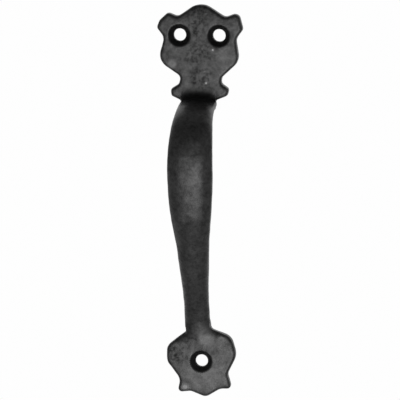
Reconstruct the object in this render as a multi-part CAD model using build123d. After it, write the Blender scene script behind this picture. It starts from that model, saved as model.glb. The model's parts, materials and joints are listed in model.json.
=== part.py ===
"""Bow pull handle for a door or window: two decorative fixing plates and a leaf-shaped bow.

Units are millimetres. The door's face is the plane Y = 0 and the handle stands out from it
towards -Y. +Z is up and +X is to the right for someone who faces the handle. The origin is
midway between the two upper wood-screw holes, on the plates' back face.
Heights "out" are distances from the door's face, so a point at height out has Y = -out.
"""
import math
import os

from build123d import *

# ---- Driving dimensions -------------------------------------------------------------------
PLATE_THICKNESS = 4.0
PLATE_EDGE_RADIUS = 0.95       # rounding of the plates' front edges

HOLE_ROW_SPACING = 127.0       # upper pair of screw holes to the lower hole, 5 inches
UPPER_HOLE_SPACING = 15.2      # between the two upper holes
LOWER_HOLE_SHIFT = 0.84        # the lower hole is a little right of the centre line
LOWER_PLATE_TURN = 4.0         # degrees that the lower plate sits out of line with the bow

SCREW_HOLE_RADIUS = 2.5        # clears a No. 8 wood screw
COUNTERSINK_RADIUS = 4.4       # 90 degree countersink on the front

SCREW_RADIUS = 1.5             # M3 x 8 countersunk screws that hold the bow's root
SCREW_LENGTH = 8.0             # head included
SCREW_CLEARANCE = 0.1          # round the shank, inside the plate
SCREW_TIP_CHAMFER = 0.3
SCREW_SPACING = 7.0
SCREW_Z = -26.3
SLOT_WIDTH = 0.8
SLOT_DEPTH = 0.7
DRILL_ALLOWANCE = 0.3          # the tapped hole is deeper than its screw

RIVET_RADIUS = 1.4             # the one rivet through the bow's thin foot
RIVET_Z = -114.2
HEAD_RADIUS = 2.75             # 90 degree countersunk heads, screws and rivet alike
HEAD_LAND = 0.2                # straight edge of a head, at the plate's back

# Upper plate, corner by corner from the crown, anticlockwise: x, z, corner radius.
UPPER_OUTLINE = [
    (0.4, 13.0, 6.7),          # crown
    (-8.3, 6.9, 2.2),          # notch
    (-12.1, 8.35, 1.4),        # left ear
    (-15.2, 5.5, 3.0),
    (-16.3, 2.75, 1.1),
    (-13.4, -1.0, 3.5),        # hollow side
    (-15.85, -10.0, 5.4),      # left cheek
    (-6.9, -15.9, 2.3),        # waist
    (-7.7, -19.0, 1.5),
    (-10.85, -20.9, 1.2),      # left end of the collar
    (-10.6, -23.4, 1.1),
    (-7.1, -25.1, 1.1),
    (-6.4, -29.6, 2.0),        # tongue behind the bow's root
    (6.0, -29.6, 2.0),
    (6.3, -24.9, 1.1),
    (10.75, -22.9, 1.2),       # right end of the collar
    (11.35, -20.5, 1.1),
    (8.35, -18.45, 1.7),
    (8.7, -16.0, 1.5),         # waist
    (15.45, -9.6, 5.3),       # right cheek
    (14.0, -1.2, 3.8),        # hollow side
    (16.75, 2.5, 1.2),          # right ear
    (15.0, 8.85, 2.0),
    (10.0, 6.85, 2.6),         # notch
]

# Lower plate about its own screw hole, before it is turned: x, z, corner radius.
LOWER_OUTLINE = [
    (-4.6, 16.5, 1.1),         # stem behind the bow's foot
    (-5.0, 11.9, 1.7),
    (-13.0, 6.5, 3.9),         # left shoulder
    (-13.4, 0.7, 4.5),
    (-8.6, -6.4, 4.5),         # waist
    (-10.0, -11.8, 1.2),       # left lobe
    (-4.9, -11.6, 3.0),
    (0.7, -14.35, 3.2),       # bottom point
    (6.6, -11.15, 4.0),
    (11.0, -11.45, 1.3),        # right lobe
    (9.7, -5.4, 3.2),          # waist
    (13.85, 1.7, 6.0),         # right shoulder
    (12.1, 9.1, 5.0),
    (4.6, 12.3, 1.8),
    (4.3, 16.5, 1.1),
]

# Bow: the middle of the bar at each station, and the bar's size square to its own line.
# z, height out, width, thickness.
BOW_STATIONS = [
    (-26.0, PLATE_THICKNESS, 13.8, 5.2),   # root, flat on the upper plate
    (-27.7, 12.5, 14.1, 5.7),
    (-30.9, 19.0, 15.0, 6.9),
    (-37.3, 24.0, 16.4, 8.4),
    (-49.5, 25.5, 17.2, 9.2),              # belly, the widest and furthest out
    (-61.5, 23.4, 16.2, 8.8),
    (-74.0, 19.3, 13.5, 7.7),
    (-88.0, 13.3, 11.1, 6.7),
    (-100.0, 7.8, 9.7, 6.0),
    (-106.0, 5.3, 9.5, 5.5),
    (-111.0, 3.8, 9.6, 5.0),               # foot, sinking into the lower plate's face
    (-115.5, 2.9, 9.7, 4.6),
    (-121.0, 2.2, 9.7, 4.2),
]
BOW_FOOT_SHIFT = -0.6          # the foot is drawn this far to the left by the turned plate
BOW_SQUARENESS = 2.4           # 2 is an ellipse; more fills the section's corners
SECTION_POINTS = 16
FOOT_ZONE = (-125.0, -110.0)   # heights between which nothing of the bow lies behind the plate's front


# ---- Shared shapes ------------------------------------------------------------------------
def outline_face(corners, place=Location()):
    """The flat face inside a row of rounded corners, on the door's face."""
    points = [(x, z) for x, z, radius in corners]
    radii = [radius for x, z, radius in corners]
    sketch = make_face(FilletPolyline(*points, radius=radii, close=True))
    return Plane.XZ * place * sketch


def rounded_plate(face):
    """A plate of even thickness with its front edge rounded and its back edge sharp."""
    plate = extrude(face, amount=PLATE_THICKNESS)
    front_edges = plate.faces().sort_by(Axis.Y)[0].edges()
    return fillet(front_edges, PLATE_EDGE_RADIUS)


def out_from_door(x, z, out=0.0):
    """A place whose local Z runs straight out from the door."""
    return Pos(x, -out, z) * Rot(90, 0, 0)


def drum(radius, start, end):
    """A cylinder along local Z between two heights."""
    return Pos(0, 0, start) * Cylinder(radius, end - start, align=(Align.CENTER, Align.CENTER, Align.MIN))


def taper(start_radius, end_radius, start, end):
    """A cone along local Z between two heights."""
    cone = Cone(start_radius, end_radius, end - start, align=(Align.CENTER, Align.CENTER, Align.MIN))
    return Pos(0, 0, start) * cone


def wood_screw_hole(x, z):
    """The cutter for a countersunk hole, open at the plate's front."""
    depth = COUNTERSINK_RADIUS - SCREW_HOLE_RADIUS
    cutter = drum(SCREW_HOLE_RADIUS, -1, PLATE_THICKNESS + 1)
    cutter += taper(SCREW_HOLE_RADIUS, COUNTERSINK_RADIUS, PLATE_THICKNESS - depth, PLATE_THICKNESS)
    return out_from_door(x, z) * cutter


def sunk_head(radius):
    """A countersunk head round a shank of the given radius."""
    depth = HEAD_LAND + HEAD_RADIUS - radius
    return drum(HEAD_RADIUS, 0, HEAD_LAND) + taper(HEAD_RADIUS, radius, HEAD_LAND, depth)


# ---- Pieces -------------------------------------------------------------------------------
def screw_places():
    return [(side * SCREW_SPACING / 2, SCREW_Z) for side in (-1, 1)]


def rivet_place():
    return BOW_FOOT_SHIFT, RIVET_Z


def make_upper_plate():
    plate = rounded_plate(outline_face(UPPER_OUTLINE))
    for side in (-1, 1):
        plate -= wood_screw_hole(side * UPPER_HOLE_SPACING / 2, 0)
    seat = drum(SCREW_RADIUS + SCREW_CLEARANCE, -1, PLATE_THICKNESS + 1) + sunk_head(SCREW_RADIUS)
    for x, z in screw_places():
        plate -= out_from_door(x, z) * seat
    return plate


def make_lower_plate():
    place = Pos(LOWER_HOLE_SHIFT, -HOLE_ROW_SPACING) * Rot(0, 0, LOWER_PLATE_TURN)
    plate = rounded_plate(outline_face(LOWER_OUTLINE, place))
    plate -= wood_screw_hole(LOWER_HOLE_SHIFT, -HOLE_ROW_SPACING)
    seat = drum(RIVET_RADIUS, -1, PLATE_THICKNESS + 1) + sunk_head(RIVET_RADIUS)
    return plate - out_from_door(*rivet_place()) * seat


def bar_section(width, thickness):
    """A squared-off ellipse, as one closed curve."""
    power = 2 / BOW_SQUARENESS
    points = []
    for step in range(SECTION_POINTS):
        angle = 2 * math.pi * step / SECTION_POINTS
        across = math.copysign(abs(math.cos(angle)) ** power, math.cos(angle))
        through = math.copysign(abs(math.sin(angle)) ** power, math.sin(angle))
        points.append((across * width / 2, through * thickness / 2))
    return make_face(Spline(*points, periodic=True))


def make_bow():
    """The bow before it is drilled: a bar lofted along its line, cut flat where it meets the plate."""
    root_z, foot_z = BOW_STATIONS[0][0], BOW_STATIONS[-1][0]
    middles = [
        Vector(BOW_FOOT_SHIFT * (z - root_z) / (foot_z - root_z), -out, z)
        for z, out, width, thickness in BOW_STATIONS
    ]
    line = Spline(*middles, tangents=[(0, -1, 0), (0, 0.1, -1)])
    sections = []
    for middle, (z, out, width, thickness) in zip(middles, BOW_STATIONS):
        along = line.tangent_at(line.param_at_point(middle))
        section_plane = Plane(origin=middle, x_dir=(1, 0, 0), z_dir=along)
        sections.append(section_plane * bar_section(width, thickness))
    bow = loft(sections)

    zone_low, zone_high = FOOT_ZONE
    behind_face = Box(40, 20, zone_high - zone_low, align=(Align.CENTER, Align.MIN, Align.MIN))
    return bow - Pos(0, -PLATE_THICKNESS, zone_low) * behind_face


def make_grip():
    grip = make_bow()
    tapped_hole = drum(SCREW_RADIUS, 0, SCREW_LENGTH + DRILL_ALLOWANCE)
    for x, z in screw_places():
        grip -= out_from_door(x, z) * tapped_hole
    return grip - out_from_door(*rivet_place()) * rivet_shank()


def make_upper_grip_screws():
    """Slotted countersunk machine screws, their heads flush with the plate's back."""
    tip = SCREW_LENGTH - SCREW_TIP_CHAMFER
    screw = drum(SCREW_RADIUS, 0, tip) + sunk_head(SCREW_RADIUS)
    screw += taper(SCREW_RADIUS, SCREW_RADIUS - SCREW_TIP_CHAMFER, tip, SCREW_LENGTH)
    slot = Box(3 * HEAD_RADIUS, SLOT_WIDTH, 2 * SLOT_DEPTH)
    slot_angles = (25, 70)
    return Compound([
        out_from_door(x, z) * (screw - Rot(0, 0, angle) * slot)
        for (x, z), angle in zip(screw_places(), slot_angles)
    ])


def rivet_shank():
    """Longer than the plate and the foot together are thick."""
    return drum(RIVET_RADIUS, 0, 3 * PLATE_THICKNESS)


def make_foot_rivet():
    """A rivet through plate and foot: sunk head at the back, front end dressed flush with the foot."""
    place = out_from_door(*rivet_place())
    in_plate = drum(RIVET_RADIUS, 0, PLATE_THICKNESS) + sunk_head(RIVET_RADIUS)
    in_foot = place * rivet_shank() & make_bow()
    return place * in_plate + in_foot


PIECES = {
    "upper_plate": make_upper_plate,
    "lower_plate": make_lower_plate,
    "grip": make_grip,
    "upper_grip_screws": make_upper_grip_screws,
    "foot_rivet": make_foot_rivet,
}

os.makedirs("parts", exist_ok=True)
for node, make in PIECES.items():
    piece = make()
    export_step(piece, f"parts/{node}.step")
    box = piece.bounding_box()
    print(f"{node}: {piece.volume:.0f} mm3, {box.size.X:.1f} x {box.size.Y:.1f} x {box.size.Z:.1f} mm")
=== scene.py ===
"""Looks of the bow pull handle: rough cast skins over the CAD pieces, black coating, soft light.

Lengths inside the skins are in millimetres; Blender's own objects are in metres.
Y runs into the door, so the handle's front faces -Y. Z is up.
"""
import itertools
import json
import math

import bmesh
import bpy
import numpy as np
from mathutils import Matrix, Vector
from mathutils.bvhtree import BVHTree


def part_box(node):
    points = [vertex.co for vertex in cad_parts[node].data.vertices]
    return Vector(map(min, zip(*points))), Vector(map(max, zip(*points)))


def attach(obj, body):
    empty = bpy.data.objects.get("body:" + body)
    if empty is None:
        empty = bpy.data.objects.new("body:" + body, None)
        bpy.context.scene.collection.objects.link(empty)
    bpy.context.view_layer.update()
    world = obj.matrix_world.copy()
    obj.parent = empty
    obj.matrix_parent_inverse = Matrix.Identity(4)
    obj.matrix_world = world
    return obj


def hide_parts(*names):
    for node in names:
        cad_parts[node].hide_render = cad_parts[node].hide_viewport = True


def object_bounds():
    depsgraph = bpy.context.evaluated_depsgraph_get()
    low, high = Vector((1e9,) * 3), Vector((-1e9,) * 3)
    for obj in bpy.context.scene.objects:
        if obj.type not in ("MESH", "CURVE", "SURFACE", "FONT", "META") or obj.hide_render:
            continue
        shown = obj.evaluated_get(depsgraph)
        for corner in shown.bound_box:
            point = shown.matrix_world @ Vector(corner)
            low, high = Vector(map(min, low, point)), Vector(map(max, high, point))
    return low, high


MM = 0.001

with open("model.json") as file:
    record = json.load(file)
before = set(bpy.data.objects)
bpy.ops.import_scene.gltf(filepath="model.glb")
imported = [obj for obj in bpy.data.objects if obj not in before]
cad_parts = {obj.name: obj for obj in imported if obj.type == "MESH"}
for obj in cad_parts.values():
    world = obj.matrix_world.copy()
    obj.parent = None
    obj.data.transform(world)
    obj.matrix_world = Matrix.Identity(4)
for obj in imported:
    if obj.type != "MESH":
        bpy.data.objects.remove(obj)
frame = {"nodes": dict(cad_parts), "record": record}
cad_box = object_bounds()
nodes = frame["nodes"]
mounts = {mount["name"]: mount for mount in frame["record"]["mounts"]}

# ---- Skin: driving sizes, mm ----------------------------------------------------------------
VOXEL = 0.25                   # spacing of the skin's points
SMOOTHING = 0.5                # how far a pass takes a point towards its neighbours' mean
ROUNDING_PASSES = 5            # softens the sharp edges that the voxels leave
COATING = 0.12                 # stands off the bare castings
CORNERS = (                    # plate, reach and smoothing passes of its corner with the grip
    ("upper_plate", 6.5, 260),
    ("lower_plate", 3.0, 60),
)
CREASE_SHADE_WIDTH = (0.6, 2.6)      # painted shade in the upper corner fades out between these distances
CREASE_SHADE_STRENGTH = 0.8
CORE = 0.3                     # of a reach: a fill or a mark has its full strength this near
FRONT_ZONE = (0.3, 0.8)        # of the plates' thickness: work at the front fades in between these
SIDEWAYS = (0.3, 0.7)          # normals that lean sideways by this much are the outline's
FOOT_REACH = 5.0               # the bow's foot melts into the lower plate
FOOT_PASSES = 140
FOOT_FACING = (0.5, 0.85)      # how far a point has to face forward
SPREAD_PASSES = 80             # spaces the points evenly again across the foot
BELLY = (-86.0, -33.0)         # the bow's belly lies between these heights
BELLY_BLEND = 8.0
BELLY_PASSES = 300
BELLY_FACING = (0.35, 0.75)    # how far a point has to face forward there
FILL_BLEND = 0.05              # a fill this thin is left half done
OWNER_PASSES = 3               # evens out the lines where the skin is shared out
NEAR = 8.0                     # longer distances to a casting aren't needed
PLATES = (                     # plate, radius of its slightly domed front
    ("upper_plate", 900.0),
    ("lower_plate", 400.0),
)
ENDS = (                       # where a plate's end starts to fall back, up or down, how fast
    (5.5, 1, 0.012),
    (-131.0, -1, 0.006),
)
FRONT_BLEND = 4.0              # the grip's ends follow a plate's front up to this far from it
PLATE_THICKNESS = 4.0
HOLE_SPACING = 15.2            # between the upper plate's screw holes
COUNTERSINK_RADIUS = 4.4
HOLE_GUARD = 1.0               # the foot's smoothing fades out this far from a countersink
COUNTERSINK_SHADE_FADE = 0.5                # width of the painted shade's edge inside a countersink
PILLOW_WIDTH = 2.4             # the plates' fronts fall away over this distance to their edges
PILLOW_DROP = 0.10
BORE_CLEARANCE = 5.5           # walls nearer than this to a screw hole's axis are the hole's own
WALL_TILT = 0.3                # a face whose normal leans forward by more isn't a wall
CORNER_GAP = 0.05              # parts the corners where a cut touches itself, as a share of a face
WELD = 0.001                   # joins the split vertices of a CAD mesh
WAVES = (                      # wavelength, height: the cast skin's relief
    (9.0, 0.09),
    (4.0, 0.045),
    (2.0, 0.038),
)
PIT_SPACING = 1.5
PIT_SHARE = 0.3                # of the places where a pit could be
PIT_RADIUS = (0.40, 0.70)
PIT_DEPTH = (0.04, 0.10)
SMOOTHEST = 0.25               # the pits' depth away from the rough places
ROUGH_PLACES = (               # x, z, radius, how pitted the castings are there
    (0.0, 9.5, 6.0, 1.0),
    (-0.5, 3.5, 5.5, 1.0),
    (-0.5, -7.0, 6.5, 1.0),
    (0.5, -16.5, 6.0, 1.0),
    (-8.5, -124.0, 5.5, 1.0),
    (-3.5, -118.5, 4.0, 1.0),
)
WEAR_AND_SHEEN_PLACES = (                # x, z, radius, strength: where the coating is rubbed or chipped through, and painted highlights
    (-10.3, -11.1, 2.4, 0.88),
    (-5.4, -137.3, 2.4, 0.93),
    # painted highlights, not wear: the next three brighten the foot, the lower plate's bottom and the
    # right cheek
    (2.6, -116.2, 4.6, 0.5),
    (2.0, -133.0, 11.0, 0.3),
    (11.0, -8.5, 5.5, 0.3),
    (5.4, -5.4, 0.8, 1.0),
    (2.9, -18.2, 0.9, 1.0),
)
WEAR_AND_SHEEN_FACING = (0.5, 0.8)       # the wear and the painted highlights fade in with how far a point faces forward
BEND_PASSES = 4                # evens out the measured bend
WAVE_SEED, PIT_SEED = 11, 31
BACK_FLAT = (0.15, 1.2)        # relief fades in between these heights over the door
LATTICE = 32                   # cells before a noise repeats


# ---- Point arrays ---------------------------------------------------------------------------
def points_of(mesh):
    flat = np.empty(len(mesh.vertices) * 3)
    mesh.vertices.foreach_get("co", flat)
    return flat.reshape(-1, 3)


def normals_of(mesh):
    flat = np.empty(len(mesh.vertices) * 3)
    mesh.vertex_normals.foreach_get("vector", flat)
    return flat.reshape(-1, 3)


def set_points(mesh, points):
    mesh.vertices.foreach_set("co", np.ascontiguousarray(points).ravel())
    mesh.update()


def edges_of(mesh):
    flat = np.empty(len(mesh.edges) * 2, dtype=np.int64)
    mesh.edges.foreach_get("vertices", flat)
    return flat.reshape(-1, 2)


def neighbour_mean(values, edges):
    """The mean of each point's neighbours, for an array of values per point."""
    count = len(values)
    ends = np.concatenate([edges, edges[:, ::-1]])
    degree = np.maximum(np.bincount(ends[:, 0], minlength=count), 1)
    columns = [
        np.bincount(ends[:, 0], weights=column[ends[:, 1]], minlength=count) / degree
        for column in values.reshape(count, -1).T
    ]
    return np.stack(columns, axis=1).reshape(values.shape)


def keep_values(mesh, name, values):
    """Stores a value per point, for the material."""
    attribute = mesh.attributes.new(name, "FLOAT", "POINT")
    attribute.data.foreach_set("value", values.astype(np.float32))


def smooth_step(low, high, values):
    share = np.clip((values - low) / (high - low), 0, 1)
    return share * share * (3 - 2 * share)


def noise(points, wavelength, seed):
    """Smooth seeded noise in space, about -1 to 1."""
    generator = np.random.default_rng(seed)
    lattice = generator.uniform(-1, 1, (LATTICE, LATTICE, LATTICE))
    turn = np.linalg.qr(generator.normal(size=(3, 3)))[0]
    place = points @ turn / wavelength + generator.uniform(0, LATTICE, 3)
    cell = np.floor(place).astype(int)
    part = place - cell
    part = part**3 * (part * (part * 6 - 15) + 10)
    total = np.zeros(len(points))
    for corner in itertools.product((0, 1), repeat=3):
        index = (cell + corner) % LATTICE
        weight = np.prod(np.where(corner, part, 1 - part), axis=1)
        total += weight * lattice[index[:, 0], index[:, 1], index[:, 2]]
    return total


def pits(points, seed):
    """Depth of scattered round pits at each point."""
    generator = np.random.default_rng(seed)
    size = (LATTICE,) * 3
    centres = generator.uniform(0, 1, size + (3,))
    radii = generator.uniform(*PIT_RADIUS, size) / PIT_SPACING
    depths = generator.uniform(*PIT_DEPTH, size) * (generator.uniform(0, 1, size) < PIT_SHARE)
    place = points / PIT_SPACING
    cell = np.floor(place).astype(int)
    total = np.zeros(len(points))
    for step in itertools.product((-1, 0, 1), repeat=3):
        index = tuple(((cell + step) % LATTICE).T)
        apart = np.linalg.norm(place - cell - step - centres[index], axis=1) / radii[index]
        total = np.maximum(total, depths[index] * np.clip(1 - apart**2, 0, 1) ** 2)
    return total


# ---- Skin -----------------------------------------------------------------------------------
def nodes_in_mm(names):
    """A bmesh of several CAD nodes together, in millimetres."""
    work = bmesh.new()
    for name in names:
        work.from_mesh(nodes[name].data)
    bmesh.ops.scale(work, vec=(1 / MM,) * 3, verts=work.verts)
    return work


def rivet_part(front):
    """The rivet's front end, which the coating covers, or the rest of it. Both are closed."""
    part = nodes_in_mm(["foot_rivet"])
    bmesh.ops.remove_doubles(part, verts=part.verts, dist=WELD)
    bmesh.ops.bisect_plane(
        part, geom=[*part.verts, *part.edges, *part.faces],
        plane_co=(0, -PLATE_THICKNESS, 0), plane_no=(0, 1, 0),
        clear_outer=front, clear_inner=not front,
    )
    bmesh.ops.holes_fill(part, edges=[edge for edge in part.edges if edge.is_boundary])
    mesh = bpy.data.meshes.new("foot_rivet_part")
    part.to_mesh(mesh)
    part.free()
    return mesh


def voxel_skin(names):
    """One closed, even mesh over several CAD nodes, in millimetres."""
    work = nodes_in_mm(names)
    rivet_end = rivet_part(front=True)
    work.from_mesh(rivet_end)
    bpy.data.meshes.remove(rivet_end)
    source = bpy.data.meshes.new("source")
    work.to_mesh(source)
    work.free()
    carrier = bpy.data.objects.new("carrier", source)
    bpy.context.scene.collection.objects.link(carrier)
    remesh = carrier.modifiers.new("even", "REMESH")
    remesh.mode = "VOXEL"
    remesh.voxel_size = VOXEL
    remesh.use_smooth_shade = True
    evaluated = carrier.evaluated_get(bpy.context.evaluated_depsgraph_get())
    mesh = bpy.data.meshes.new_from_object(evaluated)
    bpy.data.objects.remove(carrier)
    bpy.data.meshes.remove(source)
    return mesh


def tree_of(node, keep=None):
    """Finds the nearest place on a CAD node, or on the faces that keep() chooses."""
    work = nodes_in_mm([node])
    if keep:
        unwanted = [face for face in work.faces if not keep(face)]
        bmesh.ops.delete(work, geom=unwanted, context="FACES")
    tree = BVHTree.FromBMesh(work)
    work.free()
    return tree


def distances(points, tree, reach):
    """How far each point is from a tree's surface, or reach where it is further off."""
    found = (tree.find_nearest(point, reach)[3] for point in points.tolist())
    return np.array([reach if distance is None else distance for distance in found])


def screw_holes():
    """The middles of the wood-screw holes, x and z."""
    upper = Vector(mounts["upper_screw_holes"]["pos_m"]) / MM
    lower = Vector(mounts["lower_screw_hole"]["pos_m"]) / MM
    return [(upper.x + side * HOLE_SPACING / 2, upper.z) for side in (-1, 1)] + [(lower.x, lower.z)]


def off_screw_axis(points):
    """How far each point is from the nearest screw hole's axis."""
    apart = [np.hypot(points[:, 0] - x, points[:, 2] - z) for x, z in screw_holes()]
    return np.min(apart, axis=0)


def is_outer_wall(face):
    """Whether a plate's face is part of its outline and not of a screw hole."""
    middle = face.calc_center_median()
    clear = all(math.hypot(middle.x - x, middle.z - z) > BORE_CLEARANCE for x, z in screw_holes())
    return abs(face.normal.y) < WALL_TILT and clear


def smoothed(points, edges, passes, weight, along=(1, 1, 1)):
    """The points, smoothed where weight is over zero, moving only along the given axes."""
    near = edges[(weight[edges] > 0).any(axis=1)]
    used, local = np.unique(near, return_inverse=True)
    local = local.reshape(-1, 2)
    moving = points[used]
    share = SMOOTHING * weight[used][:, None] * along
    for _ in range(passes):
        moving += share * (neighbour_mean(moving, local) - moving)
    result = points.copy()
    result[used] = moving
    return result


def round_edges(mesh):
    points = points_of(mesh)
    set_points(mesh, smoothed(points, edges_of(mesh), ROUNDING_PASSES, np.ones(len(points))))


def at_front(points):
    """1 from near the plates' fronts outwards, 0 towards their backs."""
    low, high = FRONT_ZONE
    return smooth_step(low * PLATE_THICKNESS, high * PLATE_THICKNESS, -points[:, 1])


def nearness(apart, reach):
    """1 in the core of a reach, fading to 0 at its end."""
    return 1 - smooth_step(CORE * reach, reach, apart)


def fill_corner(mesh, apart, reach, passes):
    """Rounds the inner corner between two castings. The outline and the outer corners stay."""
    points, normals = points_of(mesh), normals_of(mesh)
    weight = nearness(apart, reach) * at_front(points)
    weight *= 1 - smooth_step(*SIDEWAYS, abs(normals[:, 0]))
    moves = smoothed(points, edges_of(mesh), passes, weight) - points
    rise = np.einsum("ij,ij->i", moves, normals)
    set_points(mesh, points + smooth_step(-FILL_BLEND, FILL_BLEND, rise)[:, None] * moves)


def melt_foot(mesh, apart):
    """Lets the bow's foot run out into the plate's front, and then spreads the points evenly."""
    points, edges = points_of(mesh), edges_of(mesh)
    weight = nearness(apart, FOOT_REACH) * at_front(points)
    weight *= smooth_step(COUNTERSINK_RADIUS, COUNTERSINK_RADIUS + HOLE_GUARD, off_screw_axis(points))
    set_points(mesh, smoothed(points, edges, FOOT_PASSES, weight, along=(0, 1, 0)))
    weight *= smooth_step(*FOOT_FACING, -normals_of(mesh)[:, 1])
    set_points(mesh, smoothed(points_of(mesh), edges, SPREAD_PASSES, weight))


def soften_belly(mesh):
    """Lets the bow's front roll over gently, lengthwise and across."""
    points, normals = points_of(mesh), normals_of(mesh)
    low, high = BELLY
    weight = smooth_step(*BELLY_FACING, -normals[:, 1])
    weight *= smooth_step(low, low + BELLY_BLEND, points[:, 2])
    weight *= smooth_step(-high, BELLY_BLEND - high, -points[:, 2])
    set_points(mesh, smoothed(points, edges_of(mesh), BELLY_PASSES, weight))


def shape_fronts(mesh, spans, names):
    """Domes the plates' fronts a little and lets them fall away towards their outlines."""
    points = points_of(mesh)
    for plate, radius in PLATES:
        span = spans[names.index(plate)]
        mine = np.flatnonzero(span < FRONT_BLEND)
        inset = distances(points[mine], tree_of(plate, is_outer_wall), PILLOW_WIDTH)
        middle = sum(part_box(plate), Vector()) / 2 / MM
        off_middle = np.hypot(points[mine, 0] - middle.x, points[mine, 2] - middle.z)
        drop = off_middle**2 / (2 * radius) + PILLOW_DROP * (1 - inset / PILLOW_WIDTH) ** 2
        for start, side, rate in ENDS:
            drop += rate * np.clip(side * (points[mine, 2] - start), 0, None) ** 2
        drop *= 1 - smooth_step(0, FRONT_BLEND, span[mine])
        points[mine, 1] += drop * np.clip(-points[mine, 1] / PLATE_THICKNESS, 0, 1)
    set_points(mesh, points)


def marks_at(points, places):
    """The strongest of some round marks at each point, seen from the front."""
    strongest = np.zeros(len(points))
    for x, z, radius, strength in places:
        apart = np.hypot(points[:, 0] - x, points[:, 2] - z)
        strongest = np.maximum(strongest, strength * nearness(apart, radius))
    return strongest


def roughen(mesh):
    """Gives the skin its coating and cast relief, except on the flat back that lies on the door."""
    points, normals = points_of(mesh), normals_of(mesh)
    over_door = smooth_step(*BACK_FLAT, -points[:, 1])
    rough = marks_at(points, ROUGH_PLACES)
    height = COATING + sum(
        size * noise(points, wavelength, seed)
        for seed, (wavelength, size) in enumerate(WAVES, start=WAVE_SEED)
    )
    height -= pits(points, PIT_SEED) * (SMOOTHEST + (1 - SMOOTHEST) * rough)
    keep_values(mesh, "rough", rough)
    set_points(mesh, points + normals * (height * over_door)[:, None])


def keep_marks(mesh, apart):
    """Stores where the skin bends outwards, where its coating wears through, where a painted highlight
    lies, and the painted shade in each countersink and the upper corner.
    """
    points, normals, edges = points_of(mesh), normals_of(mesh), edges_of(mesh)
    bend = np.einsum("ij,ij->i", points - neighbour_mean(points, edges), normals)
    for _ in range(BEND_PASSES):
        bend = neighbour_mean(bend, edges)
    keep_values(mesh, "bend", bend / VOXEL)
    # wear, and painted highlights where light falls brighter
    fronts = smooth_step(*WEAR_AND_SHEEN_FACING, -normals[:, 1])
    keep_values(mesh, "wear_and_sheen", marks_at(points, WEAR_AND_SHEEN_PLACES) * fronts)
    # painted shade: each countersink and the upper corner by the grip get darker, duller paint where
    # shade falls
    edge = COUNTERSINK_RADIUS - COUNTERSINK_SHADE_FADE
    countersink_shade = 1 - smooth_step(edge, COUNTERSINK_RADIUS, off_screw_axis(points))
    countersink_shade *= smooth_step(*BACK_FLAT, -points[:, 1])
    crease_shade = CREASE_SHADE_STRENGTH * (1 - smooth_step(*CREASE_SHADE_WIDTH, apart)) * at_front(points)
    keep_values(mesh, "painted_shade", np.maximum(countersink_shade, crease_shade))


def close_cuts(work):
    """Closes each open loop of edges with a fan of faces to its middle, always in the same order."""
    loose = dict.fromkeys(edge for edge in work.edges if edge.is_boundary)
    while loose:
        loop = [loose.popitem()[0]]
        for edge in loop:                      # which grows while this walks along it
            for neighbour in (*edge.verts[0].link_edges, *edge.verts[1].link_edges):
                if neighbour in loose:
                    del loose[neighbour]
                    loop.append(neighbour)
        places = [vert.co for edge in loop for vert in edge.verts]
        middle = work.verts.new(sum(places, Vector()) / len(places))
        for edge in loop:
            work.faces.new((*edge.verts, middle))


def split_skin(mesh, owner, number):
    """One CAD node's share of the skin, closed where it was cut from its neighbours."""
    part = mesh.copy()
    work = bmesh.new()
    work.from_mesh(part)
    skin_normals = [tuple(vert.normal) for vert in work.verts]
    layer = work.verts.layers.float_vector.new("skin_normal")
    for vert, normal in zip(work.verts, skin_normals):
        vert[layer] = normal
    unwanted = [face for face in work.faces if owner[face.verts[0].index] != number]
    bmesh.ops.delete(work, geom=unwanted, context="FACES")
    for vert in list(work.verts):
        touches_itself = sum(edge.is_boundary for edge in vert.link_edges) > 2
        if touches_itself:
            for corner in bmesh.utils.vert_separate(vert, []):
                own = [face.calc_center_median() for face in corner.link_faces]
                corner.co = corner.co.lerp(sum(own, Vector()) / len(own), CORNER_GAP)
    close_cuts(work)
    bmesh.ops.recalc_face_normals(work, faces=work.faces)
    for face in work.faces:
        face.smooth = True
    normals = [tuple(vert[layer]) for vert in work.verts]
    work.to_mesh(part)
    work.free()
    part.normals_split_custom_set_from_vertices(normals)
    return part


def place_piece(mesh, name, node, material):
    """Makes a skin, now scaled to metres, the object that stands for its CAD node."""
    mesh.transform(Matrix.Scale(MM, 4))
    mesh.name = name
    mesh.materials.clear()
    mesh.materials.append(material)
    piece = bpy.data.objects.new(name, mesh)
    bpy.context.scene.collection.objects.link(piece)
    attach(piece, "root")
    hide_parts(node)
    return piece


# ---- Materials ------------------------------------------------------------------------------
NOISE_RANGE = (0.3, 0.7)       # what nearly all of a noise texture lies between
IRON_BLOTCHES = 0.28           # scales of the iron's noises, per mm
IRON_SPECKS = 0.80
IRON_GRAIN = 2.2
IRON_SHADE = (0.004, 0.014)
IRON_SHEEN = (0.38, 0.66)
IRON_ROUGHNESS = (0.42, 0.50)
IRON_BUMP = dict(strength=0.35, depth_mm=0.10)
GRAIN_HEIGHT = 0.35            # against 1 for the specks
SPECK_START = 0.58             # the specks' noise darkens the sheen from here down
SPECK_FULL = 0.38
SPECK_DEPTH = (0.10, 0.28)     # taken off the sheen: smooth places, rough places
ROUGH_DULLNESS = 0.06
EDGE_BEND = (0.05, 0.22)       # outward bends count as edges from the first, fully at the second
EDGE_RUBBING = 0.25            # how rubbed such an edge is, against 1 for a bare place
RUBBED_AND_PAINTED_SHEEN = 0.30            # added where the coating is rubbed, and painted sheen at the painted highlights
RUBBED_AND_PAINTED_TONE = 0.05
WORN_THROUGH = (0.9, 1.0)      # marks this strong reach the bare metal
BARE_SHADE = 0.30
PAINTED_SHADE_SHEEN = 0.35              # painted shade: shares of sheen and shade left in a countersink and the upper corner
PAINTED_SHADE_TONE = 0.3
STEEL_GRAIN = 5.0              # per mm
STEEL_SHADE = (0.07, 0.16)
STEEL_ROUGHNESS = (0.30, 0.45)
STEEL_BUMP = dict(strength=0.3, depth_mm=0.03)


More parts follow.
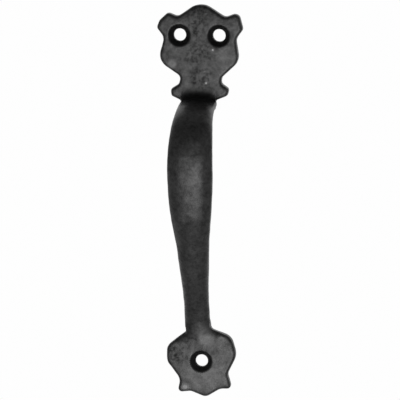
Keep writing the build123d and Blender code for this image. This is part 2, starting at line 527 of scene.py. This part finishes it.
class Shader:
    """Short calls for building the node tree of a material or of the world."""

    def __init__(self, owner):
        owner.use_nodes = True
        self.tree = owner.node_tree
        self.tree.nodes.clear()

    def node(self, kind, links=None, **settings):
        made = self.tree.nodes.new(kind)
        for key, value in settings.items():
            setattr(made, key, value)
        for socket, value in (links or {}).items():
            if isinstance(value, bpy.types.NodeSocket):
                self.tree.links.new(value, made.inputs[socket])
            else:
                made.inputs[socket].default_value = value
        return made

    def noise(self, coordinates, per_mm, detail=2.0, roughness=0.5):
        return self.node("ShaderNodeTexNoise", {
            "Vector": coordinates, "Scale": per_mm / MM, "Detail": detail, "Roughness": roughness,
        }).outputs["Fac"]

    def remap(self, value, low, high, to_low, to_high):
        return self.node("ShaderNodeMapRange", {
            "Value": value, "From Min": low, "From Max": high, "To Min": to_low, "To Max": to_high,
        }).outputs["Result"]

    def for_camera(self, seen, otherwise):
        """One shader for what the camera sees directly, another for the light that falls on things."""
        camera_ray = self.node("ShaderNodeLightPath").outputs["Is Camera Ray"]
        links = {0: camera_ray, 1: otherwise.outputs[0], 2: seen.outputs[0]}
        return self.node("ShaderNodeMixShader", links).outputs[0]

    def grey(self, shade):
        links = {"Red": shade, "Green": shade, "Blue": shade}
        return self.node("ShaderNodeCombineColor", links).outputs[0]

    def bump(self, height, strength, depth_mm):
        links = {"Strength": strength, "Distance": depth_mm * MM, "Height": height}
        return self.node("ShaderNodeBump", links).outputs["Normal"]

    def math(self, operation, *values):
        return self.node("ShaderNodeMath", dict(enumerate(values)), operation=operation).outputs[0]


def black_iron():
    """Black coating on a cast skin: blotchy sheen, dark specks, rubbing and chips, painted shade in
    the hollows, painted highlights.
    """
    material = bpy.data.materials.new("black_iron")
    shader = Shader(material)
    place = shader.node("ShaderNodeTexCoord").outputs["Object"]
    bend, rough, wear_and_sheen, painted_shade = (
        shader.node("ShaderNodeAttribute", attribute_name=name).outputs["Fac"]
        for name in ("bend", "rough", "wear_and_sheen", "painted_shade")
    )
    blotches = shader.noise(place, IRON_BLOTCHES)
    specks = shader.noise(place, IRON_SPECKS, roughness=0.6)
    grain = shader.noise(place, IRON_GRAIN)
    edges = shader.remap(bend, *EDGE_BEND, 0.0, 1.0)
    rubbed_and_sheen = shader.math("MAXIMUM", wear_and_sheen, shader.math("MULTIPLY", edges, EDGE_RUBBING))

    speck_depth = shader.remap(rough, 0.0, 1.0, *SPECK_DEPTH)
    speck = shader.remap(specks, SPECK_START, SPECK_FULL, 0.0, 1.0)
    dullness = shader.math("MULTIPLY", speck, speck_depth)
    dullness = shader.math("MULTIPLY_ADD", rough, ROUGH_DULLNESS, dullness)
    sheen = shader.math("SUBTRACT", shader.remap(blotches, *NOISE_RANGE, *IRON_SHEEN), dullness)
    # wear, and painted highlights where the marks stand in for light
    sheen = shader.math("MULTIPLY_ADD", rubbed_and_sheen, RUBBED_AND_PAINTED_SHEEN, sheen)
    # painted shade: less sheen in each countersink and the upper corner
    sheen = shader.math("MULTIPLY", sheen, shader.remap(painted_shade, 0.0, 1.0, 1.0, PAINTED_SHADE_SHEEN))
    shade = shader.remap(specks, *NOISE_RANGE, *IRON_SHADE)
    shade = shader.math("MULTIPLY_ADD", rubbed_and_sheen, RUBBED_AND_PAINTED_TONE, shade)
    # painted shade: darker colour there too
    shade = shader.math("MULTIPLY", shade, shader.remap(painted_shade, 0.0, 1.0, 1.0, PAINTED_SHADE_TONE))
    shade = shader.math("ADD", shade, shader.remap(wear_and_sheen, *WORN_THROUGH, 0.0, BARE_SHADE))
    height = shader.math("MULTIPLY_ADD", grain, GRAIN_HEIGHT, specks)
    surface = shader.node("ShaderNodeBsdfPrincipled", {
        "Base Color": shader.grey(shade),
        "Specular IOR Level": sheen,
        "Roughness": shader.remap(grain, *NOISE_RANGE, *IRON_ROUGHNESS),
        "Normal": shader.bump(height, **IRON_BUMP),
    })
    shader.node("ShaderNodeOutputMaterial", {"Surface": surface.outputs["BSDF"]})
    return material


def blackened_steel():
    """Oiled dark steel with a fine grain."""
    material = bpy.data.materials.new("blackened_steel")
    shader = Shader(material)
    place = shader.node("ShaderNodeTexCoord").outputs["Object"]
    grain = shader.noise(place, STEEL_GRAIN, detail=3.0)
    surface = shader.node("ShaderNodeBsdfPrincipled", {
        "Base Color": shader.grey(shader.remap(grain, *NOISE_RANGE, *STEEL_SHADE)),
        "Metallic": 1.0,
        "Roughness": shader.remap(grain, *NOISE_RANGE, *STEEL_ROUGHNESS),
        "Normal": shader.bump(grain, **STEEL_BUMP),
    })
    shader.node("ShaderNodeOutputMaterial", {"Surface": surface.outputs["BSDF"]})
    return material


# ---- Stage ----------------------------------------------------------------------------------
CAMERA_AZIMUTH = math.radians(8.5)
CAMERA_ELEVATION = math.radians(10.0)
CAMERA_DISTANCE = 1.5
FRAME_WIDTH = 0.15332          # what the square picture takes in, at the handle
SENSOR = 36.0
FLOOR_DEPTH = 0.35             # below the handle
FLOOR_RADIUS = 30.0
WHITE = 0.99                   # the background, just short of clipping
ROOM_GLOW = 0.012
GLOW_TIGHTNESS = 6.0
GLOWS = (                      # azimuth, elevation, strength
    (0, -75, 0.31),            # pale table, low in front
    (0, 0, 0.30),
    (50, 0, 0.45),
    (-50, 0, 0.24),
    (-100, -30, 0.28),         # pale walls beside and behind
    (100, -30, 0.24),
    (-150, -30, 1.30),
    (150, -30, 1.00),
    (-150, 30, 1.40),
    (150, 30, 1.50),
)
KEY = dict(azimuth=4, elevation=-18, distance=0.95, size=(0.74, 0.6), power=6.8)
AIM_OFFSET = Vector((0.37, -5.5, 0.3)) * MM    # from midway between the rows of screw holes


def direction(azimuth, elevation):
    """The unit vector towards a viewer at that azimuth and elevation."""
    flat = math.cos(elevation)
    return Vector((math.sin(azimuth) * flat, -math.cos(azimuth) * flat, math.sin(elevation)))


def aim_at(thing, target):
    thing.rotation_mode = "QUATERNION"
    thing.rotation_quaternion = (target - thing.location).to_track_quat("-Z", "Y")


def hole_rows_middle():
    upper = Vector(mounts["upper_screw_holes"]["pos_m"])
    lower = Vector(mounts["lower_screw_hole"]["pos_m"])
    return (upper + lower) / 2


def make_camera():
    data = bpy.data.cameras.new("camera")
    camera = bpy.data.objects.new("camera", data)
    bpy.context.scene.collection.objects.link(camera)
    target = hole_rows_middle() + AIM_OFFSET
    camera.location = target + direction(CAMERA_AZIMUTH, CAMERA_ELEVATION) * CAMERA_DISTANCE
    aim_at(camera, target)
    data.sensor_width = SENSOR
    data.lens = SENSOR * CAMERA_DISTANCE / FRAME_WIDTH
    bpy.context.scene.camera = camera


def make_light(name, azimuth, elevation, distance, size, power):
    data = bpy.data.lights.new(name, "AREA")
    data.shape = "ELLIPSE"
    data.size, data.size_y = size
    data.energy = power
    light = bpy.data.objects.new(name, data)
    bpy.context.scene.collection.objects.link(light)
    target = hole_rows_middle()
    light.location = target + direction(math.radians(azimuth), math.radians(elevation)) * distance
    aim_at(light, target)
    light.visible_camera = False


def make_world():
    """White all round for the camera; for the handle, a few wide soft glows in a dim room."""
    world = bpy.data.worlds.new("studio")
    bpy.context.scene.world = world
    shader = Shader(world)
    place = shader.node("ShaderNodeTexCoord").outputs["Generated"]
    glow = ROOM_GLOW
    for azimuth, elevation, strength in GLOWS:
        middle = direction(math.radians(azimuth), math.radians(elevation))
        product = shader.node("ShaderNodeVectorMath", {0: place, 1: middle}, operation="DOT_PRODUCT")
        closeness = product.outputs["Value"]
        off_middle = shader.math("SUBTRACT", closeness, 1.0)
        fall = shader.math("EXPONENT", shader.math("MULTIPLY", off_middle, GLOW_TIGHTNESS))
        glow = shader.math("MULTIPLY_ADD", fall, strength, glow)
    light = shader.node("ShaderNodeBackground", {"Color": (1, 1, 1, 1), "Strength": glow})
    seen = shader.node("ShaderNodeBackground", {"Color": (1, 1, 1, 1), "Strength": WHITE})
    surface = shader.for_camera(seen, otherwise=light)
    shader.node("ShaderNodeOutputWorld", {"Surface": surface})


def make_floor():
    """A pale floor well below the handle, as bright as the air around it."""
    bpy.ops.mesh.primitive_circle_add(vertices=96, radius=FLOOR_RADIUS, fill_type="NGON")
    floor = bpy.context.active_object
    floor.name = "floor"
    floor.location.z = cad_box[0].z - FLOOR_DEPTH
    material = bpy.data.materials.new("pale_floor")
    shader = Shader(material)
    seen = shader.node("ShaderNodeEmission", {"Color": (1, 1, 1, 1), "Strength": WHITE})
    unseen = shader.node("ShaderNodeBsdfTransparent")
    surface = shader.for_camera(seen, otherwise=unseen)
    shader.node("ShaderNodeOutputMaterial", {"Surface": surface})
    floor.data.materials.append(material)


def make_stage():
    bpy.context.scene.view_settings.view_transform = "Standard"
    make_camera()
    make_world()
    make_floor()
    make_light("key", **KEY)


# ---- The handle -----------------------------------------------------------------------------
def make_handle():
    iron, steel = black_iron(), blackened_steel()
    castings = ("upper_plate", "lower_plate", "grip")
    skin = voxel_skin(castings)
    points, edges = points_of(skin), edges_of(skin)
    spans = np.stack([distances(points, tree_of(node), NEAR) for node in castings])
    round_edges(skin)
    apart = {plate: np.maximum(spans[castings.index(plate)], spans[-1]) for plate, *_ in CORNERS}
    for plate, reach, passes in CORNERS:
        fill_corner(skin, apart[plate], reach, passes)
    melt_foot(skin, apart["lower_plate"])
    soften_belly(skin)
    for _ in range(OWNER_PASSES):
        spans = neighbour_mean(spans.T, edges).T
    owner = np.argmin(spans, axis=0)
    shape_fronts(skin, spans, castings)
    roughen(skin)
    keep_marks(skin, apart["upper_plate"])
    for number, node in enumerate(castings):
        share = split_skin(skin, owner, number)
        place_piece(share, "cast_" + node, node, iron)
    bpy.data.meshes.remove(skin)
    rivet = rivet_part(front=False)
    place_piece(rivet, "trimmed_foot_rivet", "foot_rivet", steel)
    screws = nodes["upper_grip_screws"]
    screws.data.materials.clear()
    screws.data.materials.append(steel)


make_stage()
make_handle()
